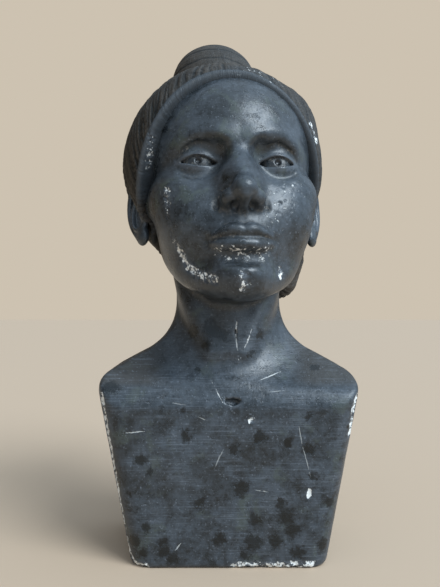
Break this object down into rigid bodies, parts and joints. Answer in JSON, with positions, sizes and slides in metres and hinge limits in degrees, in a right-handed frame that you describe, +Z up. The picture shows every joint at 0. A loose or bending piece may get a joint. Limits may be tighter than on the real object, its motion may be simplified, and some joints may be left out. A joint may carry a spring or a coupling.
{
  "type": "carved stone bust",
  "caption": "Dark polished stone bust on a flat tapered shoulder block, a calm head tilted back with the hair drawn into a knot.",
  "frame": {"origin": "middle of the flat sawn base that the bust stands on", "axes": "+Z up through the neck, -Y the way the chest faces, +X towards the bust's own left"},
  "size_m": [0.1372, 0.1433, 0.299],
  "materials": {
    "polished_stone": "satin",
    "carved_hair": "satin"
  },
  "bodies": {
    "root": {"shoulders_and_neck": "polished_stone", "head": "polished_stone", "left_ear": "polished_stone", "right_ear": "polished_stone", "hair": "carved_hair", "hair_knot": "carved_hair"}
  },
  "joints": []
}
